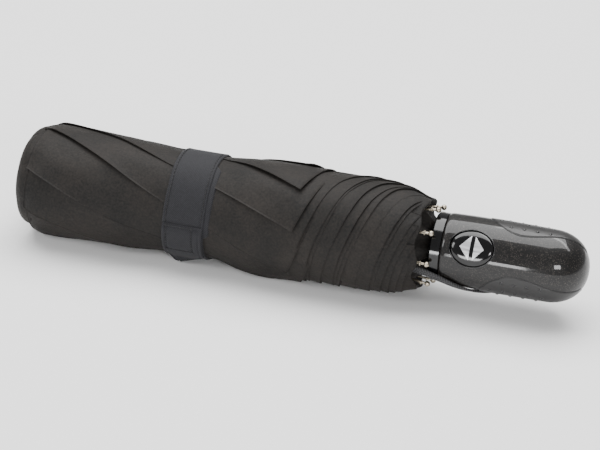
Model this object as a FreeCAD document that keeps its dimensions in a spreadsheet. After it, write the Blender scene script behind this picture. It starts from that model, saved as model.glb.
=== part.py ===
import FreeCAD, Part
import math
import os
import Sketcher
from FreeCAD import Placement, Rotation, Vector

# Folding umbrella, closed and wound, lying on its side. Millimetres, +Z up.
# The shaft runs along X with the crown at -X and the handle at +X; the floor is z = 0.
doc = FreeCAD.newDocument("folding_umbrella")
sheet = doc.addObject("Spreadsheet::Sheet", "dims")

driving_sizes = [
    ("axis_height", 28.0),       # shaft axis above the floor
    ("crown_x", -141.0),         # plane of the crown's rib pivots
    ("outer_tube_radius", 6.5),
    ("tube_wall", 0.5),
    ("tube_gap", 0.5),           # between one shaft tube and the next, where the bushes sit
    ("middle_tube_radius", "=outer_tube_radius - tube_wall - tube_gap"),
    ("inner_tube_radius", "=middle_tube_radius - tube_wall - tube_gap"),
    ("running_clearance", 0.05),
    ("outer_tube_length", 275.0),
    ("middle_tube_length", 266.0),
    ("inner_tube_length", 262.0),
    ("crown_radius", 11.2),
    ("crown_length", 8.0),
    ("pivot_radius", 9.0),       # crown and runner pivots, from the shaft axis
    ("ring_wire", 0.45),
    ("rib_height", 1.4),
    ("rib_thickness", 1.1),
    ("layer_gap", 0.2),
    ("rib_step", 2.4),           # one rib section to the next, outwards
    ("eye_radius", 1.6),
    ("pin_radius", 0.6),
    ("inner_rib_length", 176.0),
    ("middle_rib_length", 150.0),
    ("outer_rib_length", 189.0),
    ("stretcher_length", 94.0),
    ("tip_rise", 6.8),
    ("tip_ball_radius", 1.5),
    ("runner_length", 22.0),
    ("cover_start", -150.5),
    ("cover_length", 219.0),
    ("cover_radius", 28.5),
    ("cover_bulge", 0.9),         # fuller behind the tie strap
    ("hem_radius", 24.0),
    ("hem_opening", 22.3),
    ("bundle_radius", 15.4),     # room for the folded ribs
    ("strap_start", -65.0),
    ("strap_width", 22.5),
    ("strap_thickness", 1.1),
    ("waist_radius", 26.7),
    ("soft_gap", 0.3),
    ("collar_x", 73.5),
    ("collar_length", 5.5),
    ("handle_length", 74.0),
    ("handle_radius", 18.6),
    ("handle_wall", 2.6),
    ("handle_roll", 57.0),       # degrees the button is rolled from straight up
    ("pad_depth", 1.2),
    ("button_x", 16.0),          # button centre from the front of the handle
    ("button_half_length", 11.0),
    ("button_half_width", 9.0),
    ("button_gap", 0.3),
    ("button_travel", 2.5),
    ("collar_stub", "=button_x - button_half_length - button_gap - 1.7"),   # clear of the button
    ("wrist_strap_diameter", 3.0),
]
for row, (alias, value) in enumerate(driving_sizes, start=1):
    sheet.set("A%d" % row, alias)
    sheet.set("B%d" % row, str(value))
    sheet.setAlias("B%d" % row, alias)
doc.recompute()


def dim(alias, factor=1.0, extra=0.0):
    """A size from the sheet as (value, expression)."""
    value = factor * float(sheet.get(alias)) + extra
    return value, "dims.%s * %s + %s" % (alias, factor, extra)


def fixed(value):
    return float(value), str(float(value))


def add(*terms):
    return sum(t[0] for t in terms), " + ".join("(%s)" % t[1] for t in terms)


def bind(obj, **sizes):
    """Set each property to its value and tie it to the sheet."""
    for name, size in sizes.items():
        setattr(obj, name, size[0])
        obj.setExpression(name, size[1])
    return obj


def place(obj, x, y=0.0, z=0.0, axis=(0, 0, 1), angle=0.0):
    obj.Placement = Placement(Vector(x, y, z), Rotation(Vector(*axis), angle))
    return obj


def make(kind, label):
    obj = doc.addObject(kind, label)
    obj.Label = label
    return obj


def on_axis(obj, x, roll=0.0):
    """Put a piece on the shaft axis, x along it, rolled about it."""
    obj.Placement = Placement(Vector(x[0], 0, dim("axis_height")[0]), Rotation(Vector(1, 0, 0), roll))
    obj.setExpression(".Placement.Base.x", x[1])
    obj.setExpression(".Placement.Base.z", "dims.axis_height")
    return obj


def outline(body, name, points, role="XZ_Plane"):
    """Closed straight-sided sketch; every corner is tied to the sheet."""
    sketch = body.newObject("Sketcher::SketchObject", name)
    plane = [o for o in body.Origin.OriginFeatures if o.Role == role][0]
    sketch.AttachmentSupport = [(plane, "")]
    sketch.MapMode = "FlatFace"
    count = len(points)
    for i in range(count):
        (x0, y0), (x1, y1) = points[i], points[(i + 1) % count]
        sketch.addGeometry(Part.LineSegment(Vector(x0[0], y0[0], 0), Vector(x1[0], y1[0], 0)))
    for i in range(count):
        sketch.addConstraint(Sketcher.Constraint("Coincident", i, 2, (i + 1) % count, 1))
    for i, (x, y) in enumerate(points):
        for kind, axis_line, size in (("DistanceX", -2, x), ("DistanceY", -1, y)):
            if abs(size[0]) < 1e-9:
                sketch.addConstraint(Sketcher.Constraint("PointOnObject", i, 1, axis_line))
            else:
                n = sketch.addConstraint(Sketcher.Constraint(kind, -1, 1, i, 1, size[0]))
                sketch.setExpression("Constraints[%d]" % n, size[1])
    return sketch


def turned(label, points, x, roll=0.0):
    """A piece turned about the shaft axis from (distance along, radius) corners."""
    body = make("PartDesign::Body", label)
    sketch = outline(body, label + "_profile", points)
    turn = body.newObject("PartDesign::Revolution", label + "_turn")
    turn.Profile = sketch
    turn.ReferenceAxis = (sketch, ["H_Axis"])
    turn.Angle = 360
    sketch.Visibility = False
    return on_axis(body, x, roll)


def cylinder(label, radius, length, x=0.0, y=0.0, z=0.0, axis=(0, 0, 1), angle=0.0):
    obj = bind(make("Part::Cylinder", label), Radius=radius, Height=length)
    return place(obj, x, y, z, axis, angle)


def box(label, length, width, height, x, y, z):
    obj = bind(make("Part::Box", label), Length=length, Width=width, Height=height)
    return place(obj, x, y, z)


def torus(label, ring, wire, x):
    obj = bind(make("Part::Torus", label), Radius1=ring, Radius2=wire)
    return place(obj, x, 0, 0, (0, 1, 0), 90)


def fuse(label, shapes):
    obj = make("Part::MultiFuse", label)
    obj.Shapes = shapes
    return obj


def cut(label, base, tool):
    obj = make("Part::Cut", label)
    obj.Base = base
    obj.Tool = tool
    return obj


def common(label, first, second):
    obj = make("Part::MultiCommon", label)
    obj.Shapes = [first, second]
    return obj


zero = fixed(0)
crown_x = dim("crown_x")
nodes = []


def tube(label, radius, length, start):
    wall = dim("tube_wall")[0]
    inner = dim(radius, 1.0, -wall)
    end = dim(length)
    nodes.append(turned(label, [(zero, inner), (end, inner), (end, dim(radius)), (zero, dim(radius))], start))


def sliding_tube(label, radius, length, start, outside):
    """A tube whose handle end is flared to ride in the next tube out."""
    wall = dim("tube_wall")[0]
    inner, outer, end = dim(radius, 1.0, -wall), dim(radius), dim(length)
    flare = dim(outside, 1.0, -wall - dim("running_clearance")[0])
    neck = dim(length, 1.0, -6.0)
    nodes.append(turned(label, [(zero, inner), (end, inner), (end, flare), (neck, flare), (neck, outer),
                                (zero, outer)], start))


def bush(label, inside, outside, start):
    """Plastic ring pressed in a tube's mouth; the next tube runs through it."""
    bore = dim(inside, 1.0, dim("running_clearance")[0])
    wall = dim(outside, 1.0, -dim("tube_wall")[0])
    nodes.append(turned(label, [(zero, bore), (fixed(8), bore), (fixed(8), wall), (zero, wall)], start))


def shaft():
    tube("outer_tube", "outer_tube_radius", "outer_tube_length", add(crown_x, fixed(6)))
    bush("outer_tube_bush", "middle_tube_radius", "outer_tube_radius", add(crown_x, fixed(6.5)))
    sliding_tube("middle_tube", "middle_tube_radius", "middle_tube_length", add(crown_x, fixed(4.5)),
                 "outer_tube_radius")
    bush("middle_tube_bush", "inner_tube_radius", "middle_tube_radius", add(crown_x, fixed(5)))
    sliding_tube("inner_tube", "inner_tube_radius", "inner_tube_length", add(crown_x, fixed(-1)),
                 "middle_tube_radius")


rib_rolls = [42.5 + 45.0 * k for k in range(8)]


def pivot_slots(label, y, start, length, rolls):
    """Eight radial slots for rib eyes, open outwards and to both ends of the given span."""
    width = dim("rib_thickness", 1.0, 0.2)
    floor = dim("pivot_radius", 1.0, -dim("eye_radius")[0] - 0.2)
    slots = []
    for k, roll in enumerate(rolls):
        slot = bind(make("Part::Box", "%s_slot_%d" % (label, k)), Length=length, Width=width, Height=fixed(9))
        middle = Rotation(Vector(1, 0, 0), roll)
        slot.Placement = Placement(middle.multVec(Vector(start, y - 0.1, floor[0])), middle)
        slots.append(slot)
    return fuse(label + "_slots", slots)


def layer(number):
    """Near side of a rib layer: 0 inner and outer ribs, 1 middle ribs, 2 stretchers."""
    step = dim("rib_thickness")[0] + dim("layer_gap")[0]
    return -1.5 * dim("rib_thickness")[0] - dim("layer_gap")[0] + number * step


def crown():
    length = dim("crown_length")
    blank = turned("crown_blank", [
        (zero, zero), (fixed(2.8), zero), (fixed(2.8), dim("inner_tube_radius")), (length, dim("inner_tube_radius")),
        (length, dim("crown_radius")), (fixed(1.5), dim("crown_radius")), (zero, dim("crown_radius", 1.0, -1.5)),
        ], fixed(-3.8))
    blank.setExpression(".Placement.Base.z", None)
    blank.Placement = Placement(Vector(-3.8, 0, 0), Rotation())
    slots = pivot_slots("crown", layer(0), -2.0, fixed(12), rib_rolls)
    slotted = cut("crown_slotted", blank, slots)
    ring = torus("crown_ring", dim("pivot_radius"), dim("ring_wire"), 0)
    stud = cylinder("crown_stud", fixed(2.6), fixed(7.2), -3.8 - 7.0, 0, 0, (0, 1, 0), 90)
    nodes.append(on_axis(fuse("crown", [slotted, ring, stud]), crown_x))
    nodes.append(turned("top_cap", [
        (fixed(0.0), zero), (fixed(0.8), zero), (fixed(0.8), fixed(2.6)), (fixed(2.2), fixed(2.6)),
        (fixed(2.2), fixed(7.5)), (fixed(1.2), fixed(7.5)), (zero, fixed(4.5))], add(crown_x, fixed(-12))))


def runner():
    """Slides on the outer tube; the stretchers' lower eyes sit in its slots."""
    bore = dim("outer_tube_radius", 1.0, dim("running_clearance")[0])
    reach = dim("crown_radius", 1.0, -0.4)
    sleeve = dim("pivot_radius", 1.0, -0.8)
    end = dim("runner_length")
    blank = turned("runner_blank", [
        (zero, bore), (end, bore), (end, reach), (dim("runner_length", 1.0, -2.5), reach),
        (dim("runner_length", 1.0, -4), sleeve), (fixed(7), sleeve), (fixed(6), reach), (zero, reach)], fixed(-3))
    blank.setExpression(".Placement.Base.z", None)
    blank.Placement = Placement(Vector(-3, 0, 0), Rotation())
    slots = pivot_slots("runner", layer(2), -6.0, fixed(8), rib_rolls)
    ring = torus("runner_ring", dim("pivot_radius"), dim("ring_wire"), 0)
    piece = fuse("runner", [cut("runner_slotted", blank, slots), ring])
    pivot = add(crown_x, dim("inner_rib_length", 1.0, 10))
    nodes.append(on_axis(piece, pivot))


def eye(label, x, z, y, radius):
    return cylinder(label, radius, dim("rib_thickness"), x, y + dim("rib_thickness")[0], z, (1, 0, 0), 90)


def drill(label, x, z, y):
    hole = dim("pin_radius", 1.0, dim("running_clearance")[0])
    return cylinder(label, hole, dim("rib_thickness", 1.0, 0.4), x, y + dim("rib_thickness")[0] + 0.2, z,
                    (1, 0, 0), 90)


def flat_bar(label, x0, length, z, y):
    return box(label, length, dim("rib_thickness"), dim("rib_height"), x0, y, z - dim("rib_height")[0] / 2)


def cross_pin(label, x, z, y):
    """Pin from the layer at y into the next layer."""
    span = dim("rib_thickness", 2.0, dim("layer_gap")[0] + 0.1)
    return cylinder(label, dim("pin_radius"), span, x, y + span[0], z, (1, 0, 0), 90)


def rib(number, roll):
    """One of the eight folding ribs: inner, middle and outer sections and the stretcher."""
    tag = "%d" % (number + 1)
    low, step, eye_radius = dim("pivot_radius")[0], dim("rib_step")[0], dim("eye_radius")
    inner_end = dim("inner_rib_length")[0]
    middle_end = inner_end - dim("middle_rib_length")[0]
    tip = middle_end + dim("outer_rib_length")[0]
    stretch_end = inner_end + 10 - dim("stretcher_length")[0]
    first, second, third = layer(0), layer(1), layer(2)
    joint_one, joint_two = low + step / 2, low + 1.5 * step

    solid = fuse("inner_rib_solid_" + tag, [
        flat_bar("inner_rib_bar_" + tag, 0, dim("inner_rib_length"), low, first),
        eye("inner_rib_eye_" + tag, 0, low, first, eye_radius),
        eye("inner_rib_far_eye_" + tag, inner_end, joint_one, first, eye_radius),
        eye("inner_rib_mid_eye_" + tag, stretch_end, low, first, eye_radius),
        cross_pin("inner_rib_pin_" + tag, inner_end, joint_one, first)])
    holes = fuse("inner_rib_holes_" + tag, [drill("inner_rib_hole_" + tag, 0, low, first),
                                            drill("inner_rib_mid_hole_" + tag, stretch_end, low, first)])
    nodes.append(on_axis(cut("inner_rib_" + tag, solid, holes), crown_x, roll))

    solid = fuse("middle_rib_solid_" + tag, [
        flat_bar("middle_rib_bar_" + tag, middle_end, dim("middle_rib_length"), low + step, second),
        eye("middle_rib_eye_" + tag, inner_end, joint_one, second, eye_radius),
        eye("middle_rib_far_eye_" + tag, middle_end, joint_two, second, eye_radius)])
    holes = fuse("middle_rib_holes_" + tag, [drill("middle_rib_hole_" + tag, inner_end, joint_one, second),
                                             drill("middle_rib_far_hole_" + tag, middle_end, joint_two, second)])
    nodes.append(on_axis(cut("middle_rib_" + tag, solid, holes), crown_x, roll))

    high, rise, wire_start = low + 2 * step, dim("tip_rise")[0], tip - 62
    run = tip - wire_start
    slope = math.degrees(math.atan2(run, rise))
    centre = first + dim("rib_thickness")[0] / 2
    ball = bind(make("Part::Sphere", "outer_rib_ball_" + tag), Radius=dim("tip_ball_radius"))
    place(ball, tip, centre, high + rise)
    wire = cylinder("outer_rib_wire_" + tag, dim("rib_height", 0.5), fixed(math.hypot(run, rise)),
                    wire_start, centre, high, (0, 1, 0), slope)
    nodes.append(on_axis(fuse("outer_rib_" + tag, [
        flat_bar("outer_rib_bar_" + tag, middle_end, fixed(wire_start - middle_end + 0.4), high, first),
        eye("outer_rib_eye_" + tag, middle_end, joint_two, first, eye_radius),
        cross_pin("outer_rib_pin_" + tag, middle_end, joint_two, first), wire, ball]), crown_x, roll))

    solid = fuse("stretcher_solid_" + tag, [
        flat_bar("stretcher_bar_" + tag, stretch_end, dim("stretcher_length"), low, third),
        eye("stretcher_eye_" + tag, stretch_end, low, third, eye_radius),
        eye("stretcher_far_eye_" + tag, inner_end + 10, low, third, eye_radius)])
    hole = drill("stretcher_hole_" + tag, inner_end + 10, low, third)
    nodes.append(on_axis(cut("stretcher_" + tag, solid, hole), crown_x, roll))


def above_floor(label, body):
    """The piece without what lies under z = 0, so it rests on a flat."""
    block = box(label + "_under_floor", fixed(500), fixed(200), fixed(50), -250, -100, -50)
    return cut(label, body, block)


def fabric():
    """The wound canopy as a closed sleeve round the folded ribs, with a waist under the tie strap."""
    end, full, waist = dim("cover_length"), dim("cover_radius"), dim("waist_radius")
    fuller = add(full, dim("cover_bulge"))
    belt = add(dim("strap_start"), dim("cover_start", -1.0))
    bundle = dim("bundle_radius")
    points = [
        (zero, fixed(2.9)), (fixed(1.2), fixed(12)), (fixed(4.5), dim("cover_radius", 1.0, -9)),
        (fixed(10), dim("cover_radius", 1.0, -3.2)), (fixed(20), full), (add(belt, fixed(-9)), full),
        (add(belt, fixed(-1)), waist), (add(belt, dim("strap_width"), fixed(1)), waist),
        (add(belt, dim("strap_width"), fixed(12)), fuller), (dim("cover_length", 1.0, -26), fuller),
        (dim("cover_length", 1.0, -10), dim("hem_radius", 1.0, 3.4)), (end, dim("hem_radius")),
        (end, dim("hem_opening")), (dim("cover_length", 1.0, -58), bundle), (fixed(5.4), bundle),
        (fixed(5.4), fixed(12)), (fixed(2.2), fixed(10)), (fixed(2.2), fixed(2.9))]
    nodes.append(above_floor("canopy_cover", turned("cover_sleeve", points, dim("cover_start"))))

    inside = dim("waist_radius", 1.0, dim("soft_gap")[0])
    outside = add(inside, dim("strap_thickness"))
    width = dim("strap_width")
    band = turned("strap_band", [(zero, inside), (width, inside), (width, outside), (zero, outside)],
                  dim("strap_start"))
    nodes.append(above_floor("tie_strap", band))

    tab_inside = add(outside, dim("soft_gap"))
    tab_outside = add(tab_inside, dim("strap_thickness"))
    tab = turned("tie_strap_tab", [(fixed(2), tab_inside), (dim("strap_width", 1.0, -2), tab_inside),
                                   (dim("strap_width", 1.0, -2), tab_outside), (fixed(2), tab_outside)],
                 dim("strap_start"), 90.0)
    tab.Tip.Angle = 50
    nodes.append(tab)


def handle_profile():
    """Outer corners of the handle, from its front face to the middle of its rounded end."""
    radius, length = dim("handle_radius"), dim("handle_length")
    return [
        (zero, dim("handle_radius", 1.0, -1.2)), (fixed(2), dim("handle_radius", 1.0, -0.6)), (fixed(26), radius),
        (dim("handle_length", 1.0, -19), dim("handle_radius", 1.0, -0.4)),
        (dim("handle_length", 1.0, -13.7), dim("handle_radius", 1.0, -1.2)),
        (dim("handle_length", 1.0, -9), dim("handle_radius", 1.0, -3.2)),
        (dim("handle_length", 1.0, -5.2), dim("handle_radius", 1.0, -6.3)),
        (dim("handle_length", 1.0, -2.4), dim("handle_radius", 1.0, -10.2)),
        (dim("handle_length", 1.0, -0.6), dim("handle_radius", 1.0, -14.6)), (length, fixed(1.6))]


def pad_region(label, side):
    """Plan of one grip pad, seen along the button, as a tall block on one side of the handle."""
    body = make("PartDesign::Body", label)
    near, far = dim("button_half_width", side * 1.3), fixed(side * 30)
    sketch = outline(body, label + "_plan", [
        (fixed(25), fixed(side * 17.9)), (fixed(32), fixed(side * 14.8)), (fixed(41), near),
        (dim("handle_length", 1.0, -5), near), (dim("handle_length", 1.0, -2.4), fixed(side * 14)),
        (dim("handle_length", 1.0, -1.5), far), (fixed(25), far)], "XY_Plane")
    pad = body.newObject("PartDesign::Pad", label + "_pad")
    pad.Profile = sketch
    pad.Length = 60
    pad.Midplane = True
    sketch.Visibility = False
    return body


def handle():
    front = add(dim("collar_x"), dim("collar_length"))
    roll = dim("handle_roll")[0]
    wall, tube_radius = dim("handle_wall")[0], dim("outer_tube_radius")
    cavity = dim("handle_radius", 1.0, -wall - 0.4)
    outer = handle_profile()
    length = dim("handle_length")
    shell = turned("handle_shell_blank", outer + [
        (length, zero), (dim("handle_length", 1.0, -12.5), zero), (dim("handle_length", 1.0, -12.5), tube_radius),
        (dim("handle_length", 1.0, -22), tube_radius), (dim("handle_length", 1.0, -22), fixed(9)),
        (dim("handle_length", 1.0, -12), fixed(9)), (dim("handle_length", 1.0, -12), dim("handle_radius", 1.0, -8)),
        (dim("handle_length", 1.0, -18), cavity), (zero, cavity)], zero)
    depth = dim("pad_depth")[0]
    skin = [(x, add(r, fixed(-depth))) for x, r in reversed(outer[1:-1])]
    band = turned("pad_band", outer[1:-1] + skin, zero)
    for body in (shell, band):
        body.setExpression(".Placement.Base.z", None)
        body.Placement = Placement()
    region = fuse("pad_regions", [pad_region("pad_region_left", 1), pad_region("pad_region_right", -1)])
    pads = common("grip_pads_cutter", band, region)
    window = bind(make("Part::Ellipse", "window_outline"),
                  MajorRadius=add(dim("button_half_length"), dim("button_gap")),
                  MinorRadius=add(dim("button_half_width"), dim("button_gap")))
    window.Placement = Placement(dim_point("button_x", 0, 10), Rotation())
    hole = make("Part::Extrusion", "window")
    hole.Base, hole.Dir, hole.LengthFwd, hole.Solid = window, Vector(0, 0, 1), 20, True
    windowed = cut("handle_windowed", shell, hole)
    nodes.append(on_axis(cut("handle_shell", windowed, pads), front, roll))
    nodes.append(on_axis(common("grip_pads", band, region), front, roll))

    rim, stub = dim("handle_radius", 1.0, -0.9), cavity
    back = dim("collar_length")
    stub_end = add(back, dim("collar_stub"))
    nodes.append(turned("handle_collar", [
        (zero, tube_radius), (stub_end, tube_radius), (stub_end, stub),
        (back, stub), (back, rim), (fixed(0.8), rim), (zero, dim("handle_radius", 1.0, -1.7))],
        dim("collar_x"), roll))
    button(front, roll)
    strap_anchor(front)


def dim_point(alias, y, z):
    return Vector(dim(alias)[0], y, z)


def button(front, roll):
    """Push button with its stem, arrow inlays, guide housing and return spring."""
    outline_oval = bind(make("Part::Ellipse", "button_outline"), MajorRadius=dim("button_half_length"),
                        MinorRadius=dim("button_half_width"))
    outline_oval.Placement = Placement(dim_point("button_x", 0, 14.6), Rotation())
    oval = make("Part::Extrusion", "button_oval")
    oval.Base, oval.Dir, oval.LengthFwd, oval.Solid = outline_oval, Vector(0, 0, 1), 9, True
    crest = cylinder("button_crest", dim("handle_radius", 1.0, 0.7), fixed(60), -15, 0, 0, (0, 1, 0), 90)
    stem = cylinder("button_stem", fixed(3), fixed(5.2), dim("button_x")[0], 0, 9.6)
    cap = common("button_cap", oval, crest)
    tools = []
    for k, side in enumerate((-1, 1)):
        arrow = make("Part::Prism", "arrow_%d" % k)
        bind(arrow, Circumradius=fixed(3.4), Height=fixed(6))
        arrow.Polygon = 3
        arrow.Placement = Placement(Vector(dim("button_x")[0] + side * 3.6, 0, dim("handle_radius")[0] - 0.4),
                                    Rotation(Vector(0, 0, 1), 0 if side > 0 else 180))
        tools.append(arrow)
    arrows = fuse("arrow_prisms", tools)
    inlay = common("arrow_inlay", arrows, cap)
    nodes.append(on_axis(fuse("push_button", [cut("button_recessed", cap, arrows), stem]), front, roll))
    nodes.append(on_axis(common("button_arrows", inlay, arrows), front, roll))

    tube_radius = dim("outer_tube_radius")
    saddle = cylinder("housing_saddle", dim("outer_tube_radius", 1.0, 2), fixed(20), dim("button_x")[0] - 10, 0, 0,
                      (0, 1, 0), 90)
    tower = cylinder("housing_tower", fixed(5.5), fixed(11.4), dim("button_x")[0], 0, 0)
    bore = cylinder("housing_bore", tube_radius, fixed(40), dim("button_x")[0] - 20, 0, 0, (0, 1, 0), 90)
    guide = cylinder("housing_guide", dim("running_clearance", 1.0, 3), fixed(12), dim("button_x")[0], 0, 3)
    nodes.append(on_axis(cut("button_housing", fuse("housing_solid", [saddle, tower]),
                             fuse("housing_tools", [bore, guide])), front, roll))

    height = 14.6 - 11.4 - 0.7
    helix = Part.makeHelix(height / 2.5, height, 4.2)
    section = Part.Wire(Part.Circle(Vector(4.2, 0, 0), Vector(0, 1, 0), 0.3).toShape())
    coil = Part.Wire(helix.Edges).makePipeShell([section], True, True)
    spring = make("Part::Feature", "button_spring")
    spring.Shape = coil
    middle = Rotation(Vector(1, 0, 0), roll)
    seat = Vector(front[0] + dim("button_x")[0], 0, dim("axis_height")[0])
    spring.Placement = Placement(seat + middle.multVec(Vector(0, 0, 11.75)), middle)
    nodes.append(spring)


def strap_anchor(front):
    """Small lug under the handle, a little behind; the wrist strap's loop comes out of its front face."""
    start = front[0] + dim("handle_length")[0] - 34
    bottom = dim("axis_height")[0] - dim("handle_radius")[0] - 1.4
    lug = box("lug_block", fixed(7), fixed(7), fixed(4), start, 1, bottom)
    grip = cylinder("lug_seat", dim("handle_radius", 1.0, -0.15), fixed(40), start - 20, 0, dim("axis_height")[0],
                    (0, 1, 0), 90)
    nodes.append(cut("strap_anchor", lug, grip))


def wrist_strap():
    """Limp woven strap: straight runs joined by tangent arcs, from the lug round to the hem."""
    collar = dim("collar_x")[0]
    start = collar + dim("collar_length")[0] + dim("handle_length")[0] - 34.3
    centre = dim("axis_height")[0]
    skin = dim("handle_radius")[0]
    mouth = dim("hem_opening")[0]
    route = [(start, -104, skin + 2.0), (start - 7.7, -100, skin + 2.2), (start - 15.2, -84, skin + 2.9),
             (start - 22.7, -62, skin + 3.1), (start - 30.7, -42, skin + 2.9), (collar + 6.5, -26, skin + 2.5),
             (collar - 2.8, -18, mouth - 3.1), (collar - 14.8, -18, mouth - 4.9)]
    points = []
    for x, turn, radius in route:
        a = math.radians(turn)
        points.append(Vector(x, -radius * math.cos(a), centre + radius * math.sin(a)))
    edges, here, radii = [], points[0], []
    for before, corner, after in zip(points, points[1:], points[2:]):
        back, ahead = (before - corner).normalize(), (after - corner).normalize()
        turn = math.pi - back.getAngle(ahead)
        reach = 0.45 * min((corner - before).Length, (after - corner).Length)
        radius = reach / math.tan(turn / 2)
        radii.append(round(radius, 1))
        first, last = corner + back * reach, corner + ahead * reach
        bisector = (back + ahead).normalize()
        middle = corner + bisector * (radius / math.cos(turn / 2) - radius)
        edges += [Part.LineSegment(here, first).toShape(), Part.Arc(first, middle, last).toShape()]
        here = last
    edges.append(Part.LineSegment(here, points[-1]).toShape())
    spine = Part.Wire(edges)
    size = dim("wrist_strap_diameter")[0] / 2
    section = Part.Wire(Part.Circle(points[0], points[1] - points[0], size).toShape())
    strap = make("Part::Feature", "wrist_strap")
    strap.Shape = spine.makePipeShell([section], True, True)
    print("wrist strap: length", round(spine.Length, 1), "volume ratio",
          round(strap.Shape.Volume / (spine.Length * math.pi * size * size), 4), "bend radii", radii)
    nodes.append(strap)


shaft()
crown()
runner()
for number, roll in enumerate(rib_rolls):
    rib(number, roll)
fabric()
handle()
wrist_strap()
doc.recompute()

os.makedirs("parts", exist_ok=True)
for obj in doc.Objects:
    if "Invalid" in obj.State or "Error" in obj.State:
        raise RuntimeError("feature failed: " + obj.Label)
for node in nodes:
    shape = node.Shape
    if shape.isNull() or not shape.isValid():
        raise RuntimeError("bad shape: " + node.Label)
for node in nodes:
    name = node.Label
    node.Shape.exportStep("parts/%s.step" % name)
    b = node.Shape.BoundBox
    print("%-18s solids %d  x %.1f %.1f  y %.1f %.1f  z %.1f %.1f" % (
        name, len(node.Shape.Solids), b.XMin, b.XMax, b.YMin, b.YMax, b.ZMin, b.ZMax))
print("pieces", len(nodes))
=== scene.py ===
import math
import bmesh
import bpy
import numpy as np
from mathutils import Matrix, Vector


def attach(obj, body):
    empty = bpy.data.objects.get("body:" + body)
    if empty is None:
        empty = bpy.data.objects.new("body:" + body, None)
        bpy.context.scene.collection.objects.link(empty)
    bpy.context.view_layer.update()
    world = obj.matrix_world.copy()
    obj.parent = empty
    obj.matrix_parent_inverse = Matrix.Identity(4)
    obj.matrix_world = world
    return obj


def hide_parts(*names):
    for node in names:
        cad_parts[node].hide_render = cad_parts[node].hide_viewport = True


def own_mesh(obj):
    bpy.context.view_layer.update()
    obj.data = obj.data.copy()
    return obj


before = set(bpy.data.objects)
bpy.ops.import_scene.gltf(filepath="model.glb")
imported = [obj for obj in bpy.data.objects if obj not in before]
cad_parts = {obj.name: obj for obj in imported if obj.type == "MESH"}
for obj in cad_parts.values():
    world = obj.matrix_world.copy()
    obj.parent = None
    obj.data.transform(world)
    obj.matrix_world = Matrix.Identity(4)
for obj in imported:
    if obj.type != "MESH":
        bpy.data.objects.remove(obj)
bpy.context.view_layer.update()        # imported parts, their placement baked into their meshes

axisMm = 28.0            # height of the shaft axis; pieces are worked out in mm
wrapMm = 28.0            # cloth patterns are laid out on a roll of this radius
ribCount = 8
ribTurn = 2.5            # a turn at which a rib holds the hem out, degrees
seed = 7


# small tools

def srgb(hexText):
    parts = [int(hexText[i:i + 2], 16) / 255 for i in (1, 3, 5)]
    lin = [c / 12.92 if c <= 0.04045 else ((c + 0.055) / 1.055) ** 2.4 for c in parts]
    return (*lin, 1.0)


def node(tree, kind, links=None, **settings):
    # one node, its settings (names or input sockets) and what feeds it
    n = tree.nodes.new(kind)
    for key, value in settings.items():
        if key.startswith("in_"):
            name = key[3:].replace("_", " ")
            n.inputs[int(name) if name.isdigit() else name].default_value = value
        else:
            setattr(n, key, value)
    for name, source in (links or {}).items():
        tree.links.new(source, n.inputs[name])
    return n


def surface(name, hexColour, **values):
    # a principled material; returns it with its tree, shader and object coordinates
    mat = bpy.data.materials.new(name)
    mat.use_nodes = True
    tree = mat.node_tree
    tree.nodes.clear()
    shader = tree.nodes.new("ShaderNodeBsdfPrincipled")
    shader.inputs["Base Color"].default_value = srgb(hexColour)
    for key, value in values.items():
        shader.inputs[key.replace("_", " ")].default_value = value
    out = tree.nodes.new("ShaderNodeOutputMaterial")
    tree.links.new(shader.outputs[0], out.inputs[0])
    where = tree.nodes.new("ShaderNodeTexCoord")
    return mat, tree, shader, where


def ramp(tree, factor, low, high, first, second):
    r = node(tree, "ShaderNodeMapRange", {"Value": factor}, in_From_Min=low, in_From_Max=high,
             in_To_Min=first, in_To_Max=second)
    return r.outputs[0]


def tint(tree, shader, factor, dark, light):
    mix = node(tree, "ShaderNodeMix", data_type="RGBA")
    tree.links.new(factor, mix.inputs[0])
    mix.inputs[6].default_value = srgb(dark)
    mix.inputs[7].default_value = srgb(light)
    tree.links.new(mix.outputs[2], shader.inputs["Base Color"])


def bump(tree, shader, height, strength, distance, under=None):
    b = node(tree, "ShaderNodeBump", {"Height": height}, in_Strength=strength, in_Distance=distance)
    if under:
        tree.links.new(under.outputs[0], b.inputs["Normal"])
    tree.links.new(b.outputs[0], shader.inputs["Normal"])
    return b


def build(name, points, faces, material, uvs=None, smooth=True):
    mesh = bpy.data.meshes.new(name)
    mesh.from_pydata([tuple(p) for p in points], [], faces)
    if uvs is not None:
        layer = mesh.uv_layers.new(name="surface")
        loops = np.array([l.vertex_index for l in mesh.loops])
        layer.data.foreach_set("uv", np.asarray(uvs, float)[loops].ravel())
    mesh.polygons.foreach_set("use_smooth", [smooth] * len(mesh.polygons))
    mesh.materials.append(material)
    mesh.update()
    obj = bpy.data.objects.new(name, mesh)
    bpy.context.scene.collection.objects.link(obj)
    return obj


def grid(rows, columns, start=0, closed=False, flip=False):
    faces = []
    for i in range(rows - 1):
        for j in range(columns if closed else columns - 1):
            k = (j + 1) % columns
            quad = (start + i * columns + j, start + i * columns + k,
                    start + (i + 1) * columns + k, start + (i + 1) * columns + j)
            faces.append(quad[::-1] if flip else quad)
    return faces


def ringGrid(rows, columns):
    # faces of a form that is closed both ways
    return [(i * columns + j, i * columns + (j + 1) % columns,
             (i + 1) % rows * columns + (j + 1) % columns, (i + 1) % rows * columns + j)
            for i in range(rows) for j in range(columns)]


def capEnds(faces, rows, columns, start=0):
    # closes a tube of rows rings at its two ends
    faces.append(tuple(start + j for j in range(columns - 1, -1, -1)))
    faces.append(tuple(start + (rows - 1) * columns + j for j in range(columns)))


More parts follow.
